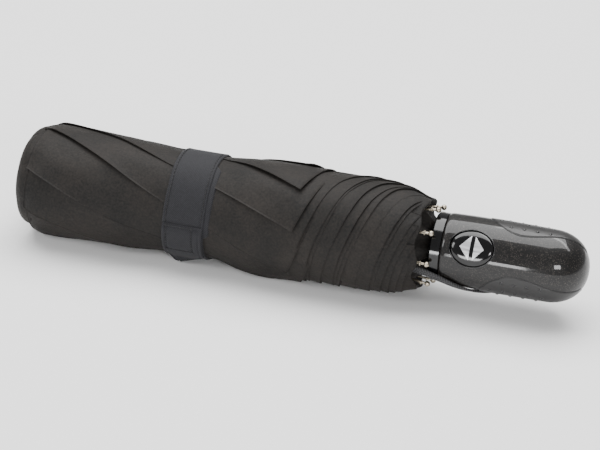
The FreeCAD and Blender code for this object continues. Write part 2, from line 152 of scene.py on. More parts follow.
def around(x, radius, turn):
    # a point at turn degrees round the shaft: 0 is towards the front (-Y), 90 is up
    a = np.radians(turn)
    return np.stack([np.broadcast_to(x, np.shape(a)) + 0 * a, -radius * np.cos(a),
                     axisMm + radius * np.sin(a)], -1)


def ease(x, low, high):
    t = np.clip((np.asarray(x, float) - low) / (high - low), 0, 1)
    return t * t * (3 - 2 * t)


def smoothed(values, width, **edges):
    kernel = np.hanning(width) / np.hanning(width).sum()
    return np.convolve(np.pad(values, width // 2, **edges), kernel, mode="valid")


def lineFrame(line, height):
    # at each point of a line, the directions out from an axis at this height and across the line
    ahead = np.gradient(line, axis=0)
    ahead /= np.linalg.norm(ahead, axis=1)[:, None]
    out = line - np.array([0, 0, height])
    out[:, 0] = 0
    out -= (out * ahead).sum(1)[:, None] * ahead
    out /= np.linalg.norm(out, axis=1)[:, None]
    return out, np.cross(ahead, out)


def outward(obj):
    # doubles merged, faces turned outwards
    bm = bmesh.new()
    bm.from_mesh(obj.data)
    bmesh.ops.remove_doubles(bm, verts=bm.verts, dist=1e-6)
    bmesh.ops.recalc_face_normals(bm, faces=bm.faces)
    bm.to_mesh(obj.data)
    bm.free()


def settled(obj):
    # the evaluated mesh, with the modifiers gone
    dg = bpy.context.evaluated_depsgraph_get()
    mesh = bpy.data.meshes.new_from_object(obj.evaluated_get(dg))
    obj.modifiers.clear()
    obj.data = mesh
    return obj


# camera, light and floor

view = {"turn": 15.4, "height": 28.0, "distance": 1.0, "roll": 2.6, "lens": 115.3,
        "target": (0.0016, 0, 0.026)}


def makeCamera(v):
    a, e, r = (math.radians(v[k]) for k in ("turn", "height", "roll"))
    away = Vector((math.sin(a) * math.cos(e), -math.cos(a) * math.cos(e), math.sin(e)))
    right = Vector((math.cos(a), math.sin(a), 0))
    up = away.cross(right)
    side = right * math.cos(r) + up * math.sin(r)
    top = up * math.cos(r) - right * math.sin(r)
    data = bpy.data.cameras.new("camera")
    data.lens = v["lens"]
    data.clip_start = 0.02
    camera = bpy.data.objects.new("camera", data)
    spot = Vector(v["target"]) + away * v["distance"]
    camera.matrix_world = Matrix.Translation(spot) @ Matrix((side, top, away)).transposed().to_4x4()
    bpy.context.scene.collection.objects.link(camera)
    bpy.context.scene.camera = camera


def softLight(name, spot, size, power, target=(0, 0, 0.02)):
    data = bpy.data.lights.new(name, "AREA")
    data.shape = "RECTANGLE"
    data.size, data.size_y = size
    data.energy = power
    obj = bpy.data.objects.new(name, data)
    obj.location = spot
    obj.rotation_euler = (Vector(target) - Vector(spot)).to_track_quat("-Z", "Y").to_euler()
    bpy.context.scene.collection.objects.link(obj)


def makeStage():
    board = surface("paintedBoard", "#f3f3f3", Roughness=0.8)[0]
    reach, level = 3, -0.0004
    corners = [(-reach, -reach, level), (reach, -reach, level), (reach, reach, level), (-reach, reach, level)]
    floor = build("floor", corners, [(0, 1, 2, 3)], board, smooth=False)
    world = bpy.data.worlds.new("studio")
    bpy.context.scene.world = world
    world.use_nodes = True
    background = world.node_tree.nodes["Background"]
    background.inputs[0].default_value = (1, 1, 1, 1)
    background.inputs[1].default_value = 0.34
    softLight("keyPanel", (-0.25, 0.5, 1.7), (2.4, 1.6), 78)
    softLight("fillPanel", (-0.9, -1.1, 1.0), (0.6, 0.7), 11)
    softLight("stripPanel", (0.35, 0.45, 0.9), (1.0, 0.12), 3)
    softLight("lowWindow", (-0.07, -1.10, 0.11), (0.19, 0.17), 2.2, (0.1, 0, 0.03))
    softLight("endWindow", (0.50, -0.90, 0.48), (0.30, 0.22), 4.5, (0.14, 0, 0.03))


makeCamera(view)
makeStage()
print("stage: camera, lights, floor")


# materials

def pongee():
    # wound canopy: dyed pongee polyester, a dense plain weave with a soft dull sheen
    mat, tree, shader, where = surface("pongeePolyester", "#1b1815", Roughness=0.66, Sheen_Weight=0.05,
                                       Sheen_Roughness=0.45)
    shader.inputs["Sheen Tint"].default_value = srgb("#8d857d")
    shader.inputs["Specular IOR Level"].default_value = 0.24
    uv = node(tree, "ShaderNodeUVMap", uv_map="surface")
    cloth = node(tree, "ShaderNodeMapping", {"Vector": uv.outputs[0]}, in_Scale=(1000 / 0.5, 1000 / 0.5, 1))
    # threads drawn 0.5 mm apart so that they show; the cloth's are 0.15 mm
    warp = node(tree, "ShaderNodeTexWave", {"Vector": cloth.outputs[0]}, bands_direction="X", in_Scale=0.314,
                in_Distortion=0.6)
    weft = node(tree, "ShaderNodeTexWave", {"Vector": cloth.outputs[0]}, bands_direction="Y", in_Scale=0.314,
                in_Distortion=0.6)
    weave = node(tree, "ShaderNodeMath", {0: warp.outputs[1], 1: weft.outputs[1]}, operation="ADD")
    mottle = node(tree, "ShaderNodeTexNoise", {"Vector": where.outputs["Object"]}, in_Scale=40.0,
                  in_Detail=2.0)
    creases = node(tree, "ShaderNodeTexNoise", {"Vector": where.outputs["Object"]}, in_Scale=260.0,
                   in_Detail=5.0)
    melange = node(tree, "ShaderNodeTexNoise", {"Vector": where.outputs["Object"]}, in_Scale=1000 / 1.1,
                   in_Detail=2.0)
    mixed = node(tree, "ShaderNodeMath", {0: mottle.outputs[0], 1: melange.outputs[0]}, operation="ADD")
    tint(tree, shader, ramp(tree, mixed.outputs[0], 0.72, 1.28, 0, 1), "#0b0a09", "#221e1b")
    under = bump(tree, shader, creases.outputs[0], 0.35, 0.0012)
    bump(tree, shader, weave.outputs[0], 0.35, 0.00012, under)
    return mat


def twill(name, dark, light, pitch):
    # woven tape: diagonal ribs across its width
    mat, tree, shader, where = surface(name, light, Roughness=0.7, Sheen_Weight=0.05, Sheen_Roughness=0.5)
    shader.inputs["Specular IOR Level"].default_value = 0.26
    uv = node(tree, "ShaderNodeUVMap", uv_map="surface")
    turned = node(tree, "ShaderNodeMapping", {"Vector": uv.outputs[0]},
                  in_Scale=(1000 / pitch, 1000 / pitch, 1), in_Rotation=(0, 0, math.radians(38)))
    ribs = node(tree, "ShaderNodeTexWave", {"Vector": turned.outputs[0]}, bands_direction="X", in_Scale=0.314,
                in_Distortion=0.5)
    fuzz = node(tree, "ShaderNodeTexNoise", {"Vector": where.outputs["Object"]}, in_Scale=900.0,
                in_Detail=3.0)
    ribShadeAndFuzz = node(tree, "ShaderNodeMath", {0: ribs.outputs[1], 1: fuzz.outputs[0]}, operation="MULTIPLY")
    # colour follows the ribs: painted shade, darker in the grooves between ribs, mixed with random fibre tone
    # from the fuzz
    tint(tree, shader, ribShadeAndFuzz.outputs[0], dark, light)
    bump(tree, shader, ribs.outputs[1], 0.5, 0.00018)
    return mat


def webbing():
    # polyester webbing in a herringbone: the ribs turn back at each quarter of its width
    mat, tree, shader = surface("herringboneWebbing", "#111112", Roughness=0.68, Sheen_Weight=0.05)[:3]
    uv = node(tree, "ShaderNodeUVMap", uv_map="surface")
    parts = node(tree, "ShaderNodeSeparateXYZ", {"Vector": uv.outputs[0]})
    folded = node(tree, "ShaderNodeMath", {0: parts.outputs[1]}, operation="PINGPONG")
    folded.inputs[1].default_value = 0.00105                # a quarter of the webbing's 4.2 mm
    joined = node(tree, "ShaderNodeMath", {0: parts.outputs[0], 1: folded.outputs[0]}, operation="ADD")
    rows = node(tree, "ShaderNodeMath", {0: joined.outputs[0]}, operation="MULTIPLY")
    rows.inputs[1].default_value = 2 * math.pi / 0.0014     # ribs drawn 1.4 mm apart; real ones are 0.8
    wave = node(tree, "ShaderNodeMath", {0: rows.outputs[0]}, operation="SINE")
    height = ramp(tree, wave.outputs[0], -1, 1, 0, 1)
    # colour follows the rib height: painted shade in each rib's groove, lighter on its crest, on a black tape
    tint(tree, shader, height, "#020202", "#38383a")
    bump(tree, shader, height, 0.6, 0.0002)
    return mat


def lacquer():
    # handle shell: moulded ABS with a black metallic-flake lacquer under clear coat
    mat, tree, shader, where = surface("flakeLacquer", "#080707", Roughness=0.5, Metallic=0.1,
                                       Coat_Weight=0.6, Coat_Roughness=0.05)
    shader.inputs["Specular IOR Level"].default_value = 0.2
    flakes = node(tree, "ShaderNodeTexVoronoi", {"Vector": where.outputs["Object"]}, in_Scale=1000 / 0.28)
    bright = ramp(tree, flakes.outputs["Color"], 0.72, 0.98, 0, 1)      # drawn 0.28 mm; real flakes are finer
    tint(tree, shader, bright, "#050404", "#4d4742")
    bump(tree, shader, flakes.outputs["Color"], 0.12, 0.00005)
    return mat


def softGrip():
    # side pads: over-moulded thermoplastic rubber with a fine spark-eroded grain
    mat, tree, shader, where = surface("mouldedRubber", "#141314", Roughness=0.5, Coat_Weight=0.35,
                                       Coat_Roughness=0.3)
    shader.inputs["Specular IOR Level"].default_value = 0.38
    grain = node(tree, "ShaderNodeTexNoise", {"Vector": where.outputs["Object"]}, in_Scale=1000 / 0.5,
                 in_Detail=3.0)
    wear = node(tree, "ShaderNodeTexNoise", {"Vector": where.outputs["Object"]}, in_Scale=60.0, in_Detail=3.0)
    tint(tree, shader, wear.outputs[0], "#0e0d0d", "#1d1b1b")
    tree.links.new(ramp(tree, wear.outputs[0], 0.3, 0.7, 0.42, 0.56), shader.inputs["Roughness"])
    bump(tree, shader, grain.outputs[0], 0.25, 0.00008)
    return mat


def glossPlastic(name, hexColour, rough=0.16, grainMm=3.0):
    # injection-moulded ABS from a polished tool; faint flow and handling marks
    mat, tree, shader, where = surface(name, hexColour, Roughness=rough, IOR=1.52)
    marks = node(tree, "ShaderNodeTexNoise", {"Vector": where.outputs["Object"]}, in_Scale=1000 / grainMm,
                 in_Detail=4.0)
    uneven = ramp(tree, marks.outputs[0], 0.3, 0.8, rough * 0.8, rough * 1.5)
    tree.links.new(uneven, shader.inputs["Roughness"])
    bump(tree, shader, marks.outputs[0], 0.04, 0.0003)
    return mat


def plated(name, dark, light, rough):
    # drawn steel with nickel plate: fine scratches along the wire
    mat, tree, shader, where = surface(name, light, Roughness=rough, Metallic=1.0)
    drawn = node(tree, "ShaderNodeMapping", {"Vector": where.outputs["Object"]}, in_Scale=(60, 1500, 1500))
    lines = node(tree, "ShaderNodeTexNoise", {"Vector": drawn.outputs[0]}, in_Scale=1.0, in_Detail=4.0)
    tint(tree, shader, lines.outputs[0], dark, light)
    uneven = ramp(tree, lines.outputs[0], 0.3, 0.7, rough * 0.7, rough * 1.4)
    tree.links.new(uneven, shader.inputs["Roughness"])
    bump(tree, shader, lines.outputs[0], 0.1, 0.00003)
    return mat


finishes = {
    "pongee": pongee(), "tieTwill": twill("tieTwillTape", "#111114", "#2f2f34", 0.8),
    "webbing": webbing(), "lacquer": lacquer(), "grip": softGrip(),
    "glossBlack": glossPlastic("polishedAbsBlack", "#070708", 0.1),
    "mattBlack": glossPlastic("mouldedNylonBlack", "#0d0d0e", 0.42, 1.2),
    "thread": glossPlastic("polyesterThread", "#0a0a0b", 0.6, 0.3),
    "silver": plated("hotStampedFoil", "#c4c4c6", "#e4e4e6", 0.38),
    "ribNickel": plated("nickelPlatedSteel", "#8f8778", "#c9bfae", 0.3),
    "tube": plated("chromedTube", "#a2a3a6", "#d2d3d6", 0.2),
    "cap": plated("satinAluminium", "#77787a", "#97989b", 0.42),
}
print("stage: materials")


# wound canopy

canopySizes = {
    "outline": [(-150.9, 5.0), (-150.5, 16.5), (-148.6, 23.6), (-144.5, 27.2), (-139, 28.6), (-128, 28.6),
                (-97, 28.3), (-84, 27.6), (-70, 26.8), (-40, 26.8), (-27, 28.0), (-14, 28.7), (0, 28.9),
                (38, 28.8), (54, 27.4), (62, 25.9), (68.5, 24.3)],
    # each gore's free edge: its turn at the crown end and at its corner
    "flaps": [(173, 62), (123, 19), (93, -35), (35, -72), (-8, -118), (-52, -160), (-98, -205), (-142, -250)],
    "flapStand": [1.15, 1.1, 1.1, 1.6, 1.2, 1.0, 1.2, 1.0],
    "flapStart": -142.0, "flapCorner": 4.5, "flapReach": 78.0, "flapLift": 1.25, "flapThickness": 0.45,
    # folds of the cloth behind the flaps: where each crosses the turn -30, its width and its height
    "folds": [(4.2, 9, 1.0), (12.5, 9, 1.1), (14.3, 4, 0.55), (21.3, 8, 1.0), (27.7, 7, 1.0),
              (29.5, 3.5, 0.5), (31.2, 3.5, 0.9), (39.5, 8, 0.35), (46.4, 9, 1.1), (48.3, 3.5, 0.5),
              (52.7, 6, 0.9), (56.5, 4.5, 0.8), (60.5, 4.5, 0.8), (63.4, 3.5, 0.5)],
    "foldThickness": 0.4, "hemWave": 1.1, "hemPull": 0.55, "hem": 68.5,
    # the hem turns in and runs back into the dark mouth: how far along, how far in, how much it creases
    "lip": [(0.35, 0.35, 0), (0.2, 0.9, 0), (-1.5, 1.4, 0), (-4.0, 3.0, 0.3), (-3.0, 5.5, 0.9),
            (-0.5, 8.0, 1.3), (2.2, 10.5, 1.2), (4.6, 13.0, 0.7), (4.9, 15.0, 0.3)],
}
# how far every fold runs along the shaft as it goes round: turn, run
foldPath = [(-260, -12), (-150, -8.5), (-90, -5), (-30, 0), (0, 3.4), (26, 7.6), (46, 11.0), (66, 14.6),
            (81, 18.2), (96, 23.2), (106, 29.0), (118, 36.0), (135, 46.0)]
rng = np.random.default_rng(seed)
foldDrift = rng.uniform(-1.0, 1.0, (len(canopySizes["folds"]), 3))


def canopyRadius(x):
    # smooth outline of the wound cloth, mm
    xs, rs = zip(*canopySizes["outline"])
    fine = np.linspace(xs[0], xs[-1], 881)
    return np.interp(x, fine, smoothed(np.interp(fine, xs, rs), 21, mode="edge"))


def cinch(x):
    # 1 away from the tie strap, small where it binds the cloth
    return 0.3 + 0.7 * (ease(-x, 68.0, 96.0) + ease(x, -42.0, -20.0))


def foldRun(turn):
    # how far along the shaft a fold has run by this turn, mm
    turns, runs = zip(*foldPath)
    fine = np.linspace(turns[0], turns[-1], 400)
    soft = smoothed(np.interp(fine, turns, runs), 25, mode="reflect", reflect_type="odd")
    return np.interp(turn, fine, soft)


def ribPull(turn):
    # 1 where a rib holds the hem out, -1 midway between two ribs
    return np.cos(np.radians(turn - ribTurn) * ribCount)


def foldSheet(k):
    # one fold of cloth: its edge stands over the next fold, its other side runs under the last one
    sizes = canopySizes
    first, width, height = sizes["folds"][k]
    turns = np.arange(-250.0, 135.0, 2.0)
    drift = foldDrift[k]
    wander = 0.7 * np.sin(np.radians(turns) * 1.5 + 3 * drift[0]) * (0.4 + 0.6 * abs(drift[1]))
    edge = first + foldRun(turns) + wander
    kept = edge < sizes["hem"] - 0.7
    turns, edge = turns[kept], edge[kept]
    fade = ease(turns, turns[0], turns[0] + 50) * (1 - ease(turns, turns[-1] - 14, turns[-1]))
    fade = fade * (0.75 + 0.25 * np.sin(np.radians(turns) * 2.3 + 4 * drift[2]))
    across = np.array([0, 0.012, 0.03, 0.07, 0.14, 0.25, 0.4, 0.6, 0.8, 1.0])
    x = edge[:, None] - width * across[None, :]
    turn = np.repeat(turns[:, None], len(across), 1)
    lift = height * fade[:, None] * (1 - 1.2 * across[None, :] ** 0.8) + 0.12
    lift = lift - 0.12 * (1 - ease(across, 0, 0.05))[None, :]
    radius = canopyRadius(x) + lift + ripple(x, turn, 0.1, 5)
    radius -= sizes["hemPull"] * (1 - ribPull(turn)) * ease(x, 57, 68)
    outer = rest(around(x, radius, turn), 0.15)
    inner = rest(around(x, radius - sizes["foldThickness"], turn), 0.05)
    return closedSheet(outer, inner, x, turn)


def closedSheet(outer, inner, x, turn):
    # two skins of cloth joined by an edge all round
    rows, columns = x.shape
    half = rows * columns
    faces = grid(rows, columns, flip=True) + grid(rows, columns, start=half)
    rim = ([i * columns for i in range(rows)] + [(rows - 1) * columns + j for j in range(1, columns)]
           + [i * columns + columns - 1 for i in range(rows - 2, -1, -1)] + list(range(columns - 2, 0, -1)))
    for a, b in zip(rim, rim[1:] + rim[:1]):
        faces.append((a, b, b + half, a + half))
    uv = np.stack([x, np.radians(turn) * wrapMm], -1).reshape(-1, 2) / 1000
    points = np.concatenate([outer.reshape(-1, 3), inner.reshape(-1, 3)])
    return points / 1000, faces, np.concatenate([uv, uv])


def ripple(x, turn, size, waves, shift=0.0):
    # uneven waves of cloth, round the roll and along it
    a = np.radians(turn)
    return size * (np.sin(waves * a + 0.11 * x + shift)
                   + 0.6 * np.sin((waves + 3) * a - 0.07 * x + 1.7 + shift)
                   + 0.4 * np.sin((2 * waves + 1) * a + 0.19 * x + 0.6))


def rest(points, least=0.0):
    # cloth that would pass through the floor lies on it
    points[..., 2] = np.maximum(points[..., 2], least)
    return points


def flapEdge(k, x):
    # the turn at which a gore's free edge lies at this place along the shaft
    sizes = canopySizes
    first, last = sizes["flaps"][k]
    along = (x - sizes["flapStart"]) / (sizes["flapCorner"] - sizes["flapStart"])
    return first + (last - first) * along


def flapSheet(k):
    # one gore's free corner lapped round the bundle: outside, inside and a closed edge
    sizes = canopySizes
    rows, columns = 96, 22
    along, up = np.meshgrid(np.linspace(0, 1, rows), np.linspace(0, 1, columns) ** 1.25, indexing="ij")
    corner = sizes["flapCorner"] + 1.6 * math.sin(2.1 * k + 0.5)
    turnUp = sizes["flapReach"] * up
    right = corner + 0.2 * turnUp - 0.0003 * turnUp ** 2
    left = sizes["flapStart"] + 0.035 * turnUp
    x = left + (right - left) * along
    baseX = sizes["flapStart"] + (corner - sizes["flapStart"]) * along
    turn = flapEdge(k, baseX) + turnUp + 1.6 * np.sin(5 * along + k) * (1 - up)
    corners = ease(along, 0.0, 0.05) * (1 - 0.25 * ease(along, 0.93, 1.0))
    lift = sizes["flapLift"] * sizes["flapStand"][k] * (1 - 1.35 * up) * cinch(x) * corners
    curl = 0.55 * np.exp(-up / 0.05) * cinch(x) * (1 + 0.5 * np.sin(9 * along + 2.3 * k))
    tail = 0.7 * ease(along, 0.955, 1.0) * (1 - ease(up, 0.55, 0.9))
    flat = ripple(x, turn, 0.16, 7, k) * cinch(x)
    radius = canopyRadius(x) + lift + curl + tail + flat
    outer = rest(around(x, radius, turn), 0.15)
    thin = sizes["flapThickness"] * (0.5 + 0.5 * cinch(x))
    inner = rest(around(x, radius - thin, turn), 0.05)
    return closedSheet(outer, inner, x, turn)


def makeCanopy():
    sizes = canopySizes
    crownEnd = sizes["outline"][0][0]
    xs = np.concatenate([np.linspace(crownEnd, -136, 30), np.linspace(-134.5, -10, 70),
                         np.linspace(-8.5, sizes["hem"], 60)])
    turns = np.arange(0, 360, 1.5)
    x, turn = np.meshgrid(xs, turns, indexing="ij")
    radius = canopyRadius(x) + ripple(x, turn, 0.22, 5) * ease(x, -149, -135) * cinch(x)
    gather = np.abs(np.sin(np.radians(turn - 0.8 * (x + 142)) * 4 + 0.3)) ** 0.6
    radius += (gather - 0.6) * 1.1 * ease(-x, 132, 144) * ease(x, -149.8, -146)
    radius -= 0.9 * (1 - ease(x, -10, 6)) * cinch(x) * ease(x, -149, -140)      # below the flaps
    wave = sizes["hemWave"] * (ribPull(turn) + np.sin(np.radians(turn) * 5 + 0.7) * 0.4)
    radius -= sizes["hemPull"] * (1 - ribPull(turn)) * ease(x, 57, 68)
    xWarped = x + (wave - 0.6) * ease(x, 50, 68)
    outer = around(xWarped, radius, turn)
    lip = []
    creased = ribPull(turn[-1]) + 0.5 * np.sin(np.radians(turn[-1]) * 13 + 1)
    for depth, drop, crease in sizes["lip"]:
        lip.append(around(xWarped[-1] + depth - 0.5 * crease * creased, radius[-1] - drop + crease * creased,
                          turn[-1]))
    rows = rest(np.concatenate([outer, np.array(lip)]))
    count = len(turns)
    points = rows.reshape(-1, 3)
    faces = grid(len(rows), count, closed=True, flip=True)
    uv = np.stack([np.concatenate([x, np.repeat(x[-1:], len(lip), 0)]),
                   np.radians(np.concatenate([turn, np.repeat(turn[-1:], len(lip), 0)])) * wrapMm], -1)
    allPoints, allFaces, allUv = [points / 1000], list(faces), [uv.reshape(-1, 2) / 1000]
    start = len(points)
    sheets = [flapSheet(k) for k in range(len(sizes["flaps"]))]
    sheets += [foldSheet(k) for k in range(len(sizes["folds"]))]
    for p, f, t in sheets:
        allPoints.append(p)
        allUv.append(t)
        allFaces += [tuple(i + start for i in face) for face in f]
        start += len(p)
    points = np.concatenate(allPoints)
    points[:, 2] = np.where(points[:, 2] < 5e-5, 5e-5, points[:, 2])
    obj = build("woundCanopy", points, allFaces, finishes["pongee"], np.concatenate(allUv))
    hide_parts("canopy_cover")
    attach(obj, "inner_shaft")
    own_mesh(obj)


makeCanopy()
print("stage: canopy")


# stitches and dots, by geometry nodes

def repeatTree(name, alongLine):
    # puts a small thread or dot at points, or evenly along a line
    tree = bpy.data.node_groups.new(name, "GeometryNodeTree")
    face = tree.interface
    face.new_socket("Geometry", in_out="INPUT", socket_type="NodeSocketGeometry")
    for label, value in (("Spacing", 2.4), ("Length", 1.6), ("Radius", 0.22)):
        face.new_socket(label, in_out="INPUT", socket_type="NodeSocketFloat").default_value = value / 1000
    face.new_socket("Finish", in_out="INPUT", socket_type="NodeSocketMaterial")
    face.new_socket("Geometry", in_out="OUTPUT", socket_type="NodeSocketGeometry")
    given = tree.nodes.new("NodeGroupInput")
    out = tree.nodes.new("NodeGroupOutput")
    if alongLine:
        line = node(tree, "GeometryNodeMeshToCurve", {0: given.outputs["Geometry"]})
        even = node(tree, "GeometryNodeResampleCurve", {"Curve": line.outputs[0],
                                                        "Length": given.outputs["Spacing"]}, mode="LENGTH")
        tangent = node(tree, "GeometryNodeInputTangent")
        aim = node(tree, "FunctionNodeAlignRotationToVector", {"Vector": tangent.outputs[0]}, axis="Z")
        piece = node(tree, "GeometryNodeMeshCylinder", {"Radius": given.outputs["Radius"],
                                                        "Depth": given.outputs["Length"]}, in_Vertices=6)
        placed = node(tree, "GeometryNodeInstanceOnPoints", {"Points": even.outputs[0],
                                                             "Instance": piece.outputs[0],
                                                             "Rotation": aim.outputs[0]})
    else:
        piece = node(tree, "GeometryNodeMeshUVSphere", {"Radius": given.outputs["Radius"]}, in_Segments=14,
                     in_Rings=8)
        placed = node(tree, "GeometryNodeInstanceOnPoints", {"Points": given.outputs["Geometry"],
                                                             "Instance": piece.outputs[0]})
    real = node(tree, "GeometryNodeRealizeInstances", {0: placed.outputs[0]})
    smooth = node(tree, "GeometryNodeSetShadeSmooth", {0: real.outputs[0]})
    coated = node(tree, "GeometryNodeSetMaterial", {"Geometry": smooth.outputs[0],
                                                    "Material": given.outputs["Finish"]})
    tree.links.new(coated.outputs[0], out.inputs[0])
    return tree


stitchTree = repeatTree("stitchesAlongLine", True)
dotTree = repeatTree("dotsAtPoints", False)


def repeated(name, lines, tree, finish, **sizes):
    # lines: lists of points in mm; a dot tree takes their points only
    points, edges = [], []
    for line in lines:
        first = len(points)
        points += [tuple(np.asarray(p) / 1000) for p in line]
        if tree is stitchTree:
            edges += [(first + i, first + i + 1) for i in range(len(line) - 1)]
    mesh = bpy.data.meshes.new(name)
    mesh.from_pydata(points, edges, [])
    obj = bpy.data.objects.new(name, mesh)
    bpy.context.scene.collection.objects.link(obj)
    modifier = obj.modifiers.new("repeat", "NODES")
    modifier.node_group = tree
    sockets = {i.name: i.identifier for i in tree.interface.items_tree if i.in_out == "INPUT"}
    for label, value in sizes.items():
        modifier[sockets[label]] = value / 1000
    modifier[sockets["Finish"]] = finish
    return settled(obj)


# tie strap and its tab

strapSizes = {"start": -65.0, "width": 22.5, "inner": 27.15, "outer": 28.05, "stitchInset": 1.7,
              "hinge": 28.4, "tabTop": 3.0, "tabEnd": -45.0, "tabTip": -61.0, "tabHalf": 10.9,
              "tabThick": 1.0,
              "boxHalf": 7.0, "boxShift": 1.6, "boxTop": 1.0, "boxEnd": -31.0,
              # the doubled end that peeps out along the handle side
              "endStart": -46.6, "endWidth": 7.0, "endInner": 26.7, "endOuter": 27.5, "endInset": 9.0}


def bandSection(width, inner, outer, inset, count=26):
    # closed outline of the tape: bound edges, a stitched groove inside each
    u = np.linspace(0, 1, count)
    x = u * width
    edge = np.minimum(x, width - x)
    top = outer - 0.45 * (1 - ease(edge, 0, 0.5)) - 0.42 * np.exp(-((edge - inset) / 0.32) ** 2) \
        + 0.1 * (1 - ease(edge, inset, inset + 0.5))
    bottom = inner + 0.15 * (1 - ease(edge, 0, 0.5))
    return np.concatenate([x, x[::-1]]), np.concatenate([top, bottom[::-1]])


def strapSkew(turn):
    # how far the tape strays along the shaft as it goes round
    a = np.radians(turn)
    return 0.7 * np.sin(a + 0.4) + 0.35 * np.sin(3 * a)


def makeStrap():
    s = strapSizes
    xs, rs = bandSection(s["width"], s["inner"], s["outer"], s["stitchInset"])
    turns = np.arange(0, 360, 2.0)
    sag = 0.12 * np.sin(np.radians(turns) * 7)[:, None]
    x = s["start"] + xs[None, :] + strapSkew(turns)[:, None]
    points = rest(around(x, rs[None, :] + sag * (rs[None, :] > 27.5), turns[:, None] + 0 * x), 0.02)
    faces = ringGrid(len(turns), len(xs))
    uv = np.stack([x, np.radians(turns)[:, None] * wrapMm + 0 * x], -1).reshape(-1, 2) / 1000
    ux, ur = bandSection(s["endWidth"], s["endInner"], s["endOuter"], s["endInset"], 10)
    arc = np.arange(-14, 84, 2.0)
    ends = ease(arc, -14, -6) * (1 - ease(arc, 70, 82))
    x2 = (s["endStart"] + ux[None, :] * (0.55 + 0.45 * ends[:, None]) + strapSkew(arc)[:, None]
          - 1.2 * (1 - ends[:, None]))
    second = around(x2, ur[None, :] + 0 * x2, arc[:, None] + 0 * x2)
    base, n = len(turns) * len(xs), len(ux)
    for i in range(len(arc) - 1):
        for j in range(n):
            faces.append((base + i * n + j, base + i * n + (j + 1) % n, base + (i + 1) * n + (j + 1) % n,
                          base + (i + 1) * n + j))
    faces.append(tuple(base + j for j in range(n)))
    faces.append(tuple(base + (len(arc) - 1) * n + j for j in range(n - 1, -1, -1)))
    uv2 = np.stack([x2, np.radians(arc)[:, None] * wrapMm + 0 * x2], -1).reshape(-1, 2) / 1000
    allPoints = np.concatenate([points.reshape(-1, 3), second.reshape(-1, 3)]) / 1000
    strap = build("tieStrap", allPoints, faces, finishes["tieTwill"], np.concatenate([uv, uv2]))
    outward(strap)
    lines = []
    for edge in (s["stitchInset"], s["width"] - s["stitchInset"]):
        t = np.arange(-180, 180, 3.0)
        lines.append(rest(around(s["start"] + edge + strapSkew(t), s["outer"] + 0.02, t), 0.25))
    stitches = repeated("tieStrapStitches", lines, stitchTree, finishes["thread"], Spacing=2.2, Length=1.5,
                        Radius=0.17)
    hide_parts("tie_strap")
    for piece in (strap, stitches):
        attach(piece, "inner_shaft")
        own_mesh(piece)


def tabPoint(x, turn, above=0.0):
    # a point on the tab, which lifts a little towards its tip
    s = strapSizes
    lift = 2.1 * ease(-np.asarray(turn, float), 47, 61)
    return rest(around(x, s["hinge"] + s["tabThick"] + above + lift, turn), 0.4)


def makeTab():
    s = strapSizes
    rows, columns = 80, 48
    along, across = np.meshgrid(np.linspace(0, 1, rows), np.linspace(-1, 1, columns), indexing="ij")
    turn = s["tabTop"] + (s["tabTip"] - s["tabTop"]) * along
    half = s["tabHalf"] * (1 - 0.86 * ease(-turn, -s["tabEnd"] - 4, -s["tabTip"] + 1) ** 1.1)
    middle = s["start"] + s["width"] / 2
    x = middle + half * across + strapSkew(turn) - 5.0 * ease(-turn, 44, 60)
    edge = np.minimum(half * (1 - np.abs(across)), (s["tabTop"] - turn) * 0.5)
    laid = 1.15 * (1 - ease(s["tabTop"] - turn, 0, 9))     # its upper end runs flush into the strap
    groove = 0.4 * np.exp(-((edge - s["stitchInset"]) / 0.32) ** 2)
    dip = -laid - 0.35 * (1 - ease(edge, 0, 0.6)) * (turn < -4) - groove
    fromBox = np.abs(x - middle + s["boxShift"])
    box = 2.2 * np.exp(-((fromBox - s["boxHalf"]) / 0.5) ** 2) * (turn > s["boxEnd"] - 1)
    box = np.maximum(box, 2.2 * np.exp(-((turn - s["boxEnd"]) / 0.9) ** 2) * (fromBox < s["boxHalf"] + 0.2))
    outer = tabPoint(x, turn, dip - 0.12 * box)
    inner = tabPoint(x, turn, -s["tabThick"] + 0.05)
    points = np.concatenate([outer.reshape(-1, 3), inner.reshape(-1, 3)]) / 1000
    size = rows * columns
    faces = grid(rows, columns) + grid(rows, columns, start=size, flip=True)
    rim = (list(range(columns)) + [i * columns + columns - 1 for i in range(1, rows)]
           + [(rows - 1) * columns + j for j in range(columns - 2, -1, -1)]
           + [i * columns for i in range(rows - 2, 0, -1)])
    for a, b in zip(rim, rim[1:] + rim[:1]):
        faces.append((a, b, b + size, a + size))
    uv = np.stack([x, np.radians(turn) * wrapMm], -1).reshape(-1, 2) / 1000
    tab = build("strapTab", points, faces, finishes["tieTwill"], np.concatenate([uv, uv]))
    outward(tab)
    left, right = middle - s["boxShift"] - s["boxHalf"], middle - s["boxShift"] + s["boxHalf"]
    t = np.linspace(s["boxTop"], s["boxEnd"], 24)
    w = np.linspace(left, right, 12)
    foot, head = np.full(12, s["boxEnd"]), np.full(12, s["boxTop"])
    lines = [tabPoint(left + strapSkew(t), t), tabPoint(w + strapSkew(foot), foot),
             tabPoint(right + strapSkew(t), t), tabPoint(w + strapSkew(head), head)]
    stitches = repeated("strapTabStitches", lines, stitchTree, finishes["thread"], Spacing=2.0, Length=1.4,
                        Radius=0.17)
    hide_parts("tie_strap_tab")
    for piece in (tab, stitches):
        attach(piece, "tie_strap_tab")
        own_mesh(piece)


makeStrap()
makeTab()
print("stage: tie strap")


# handle

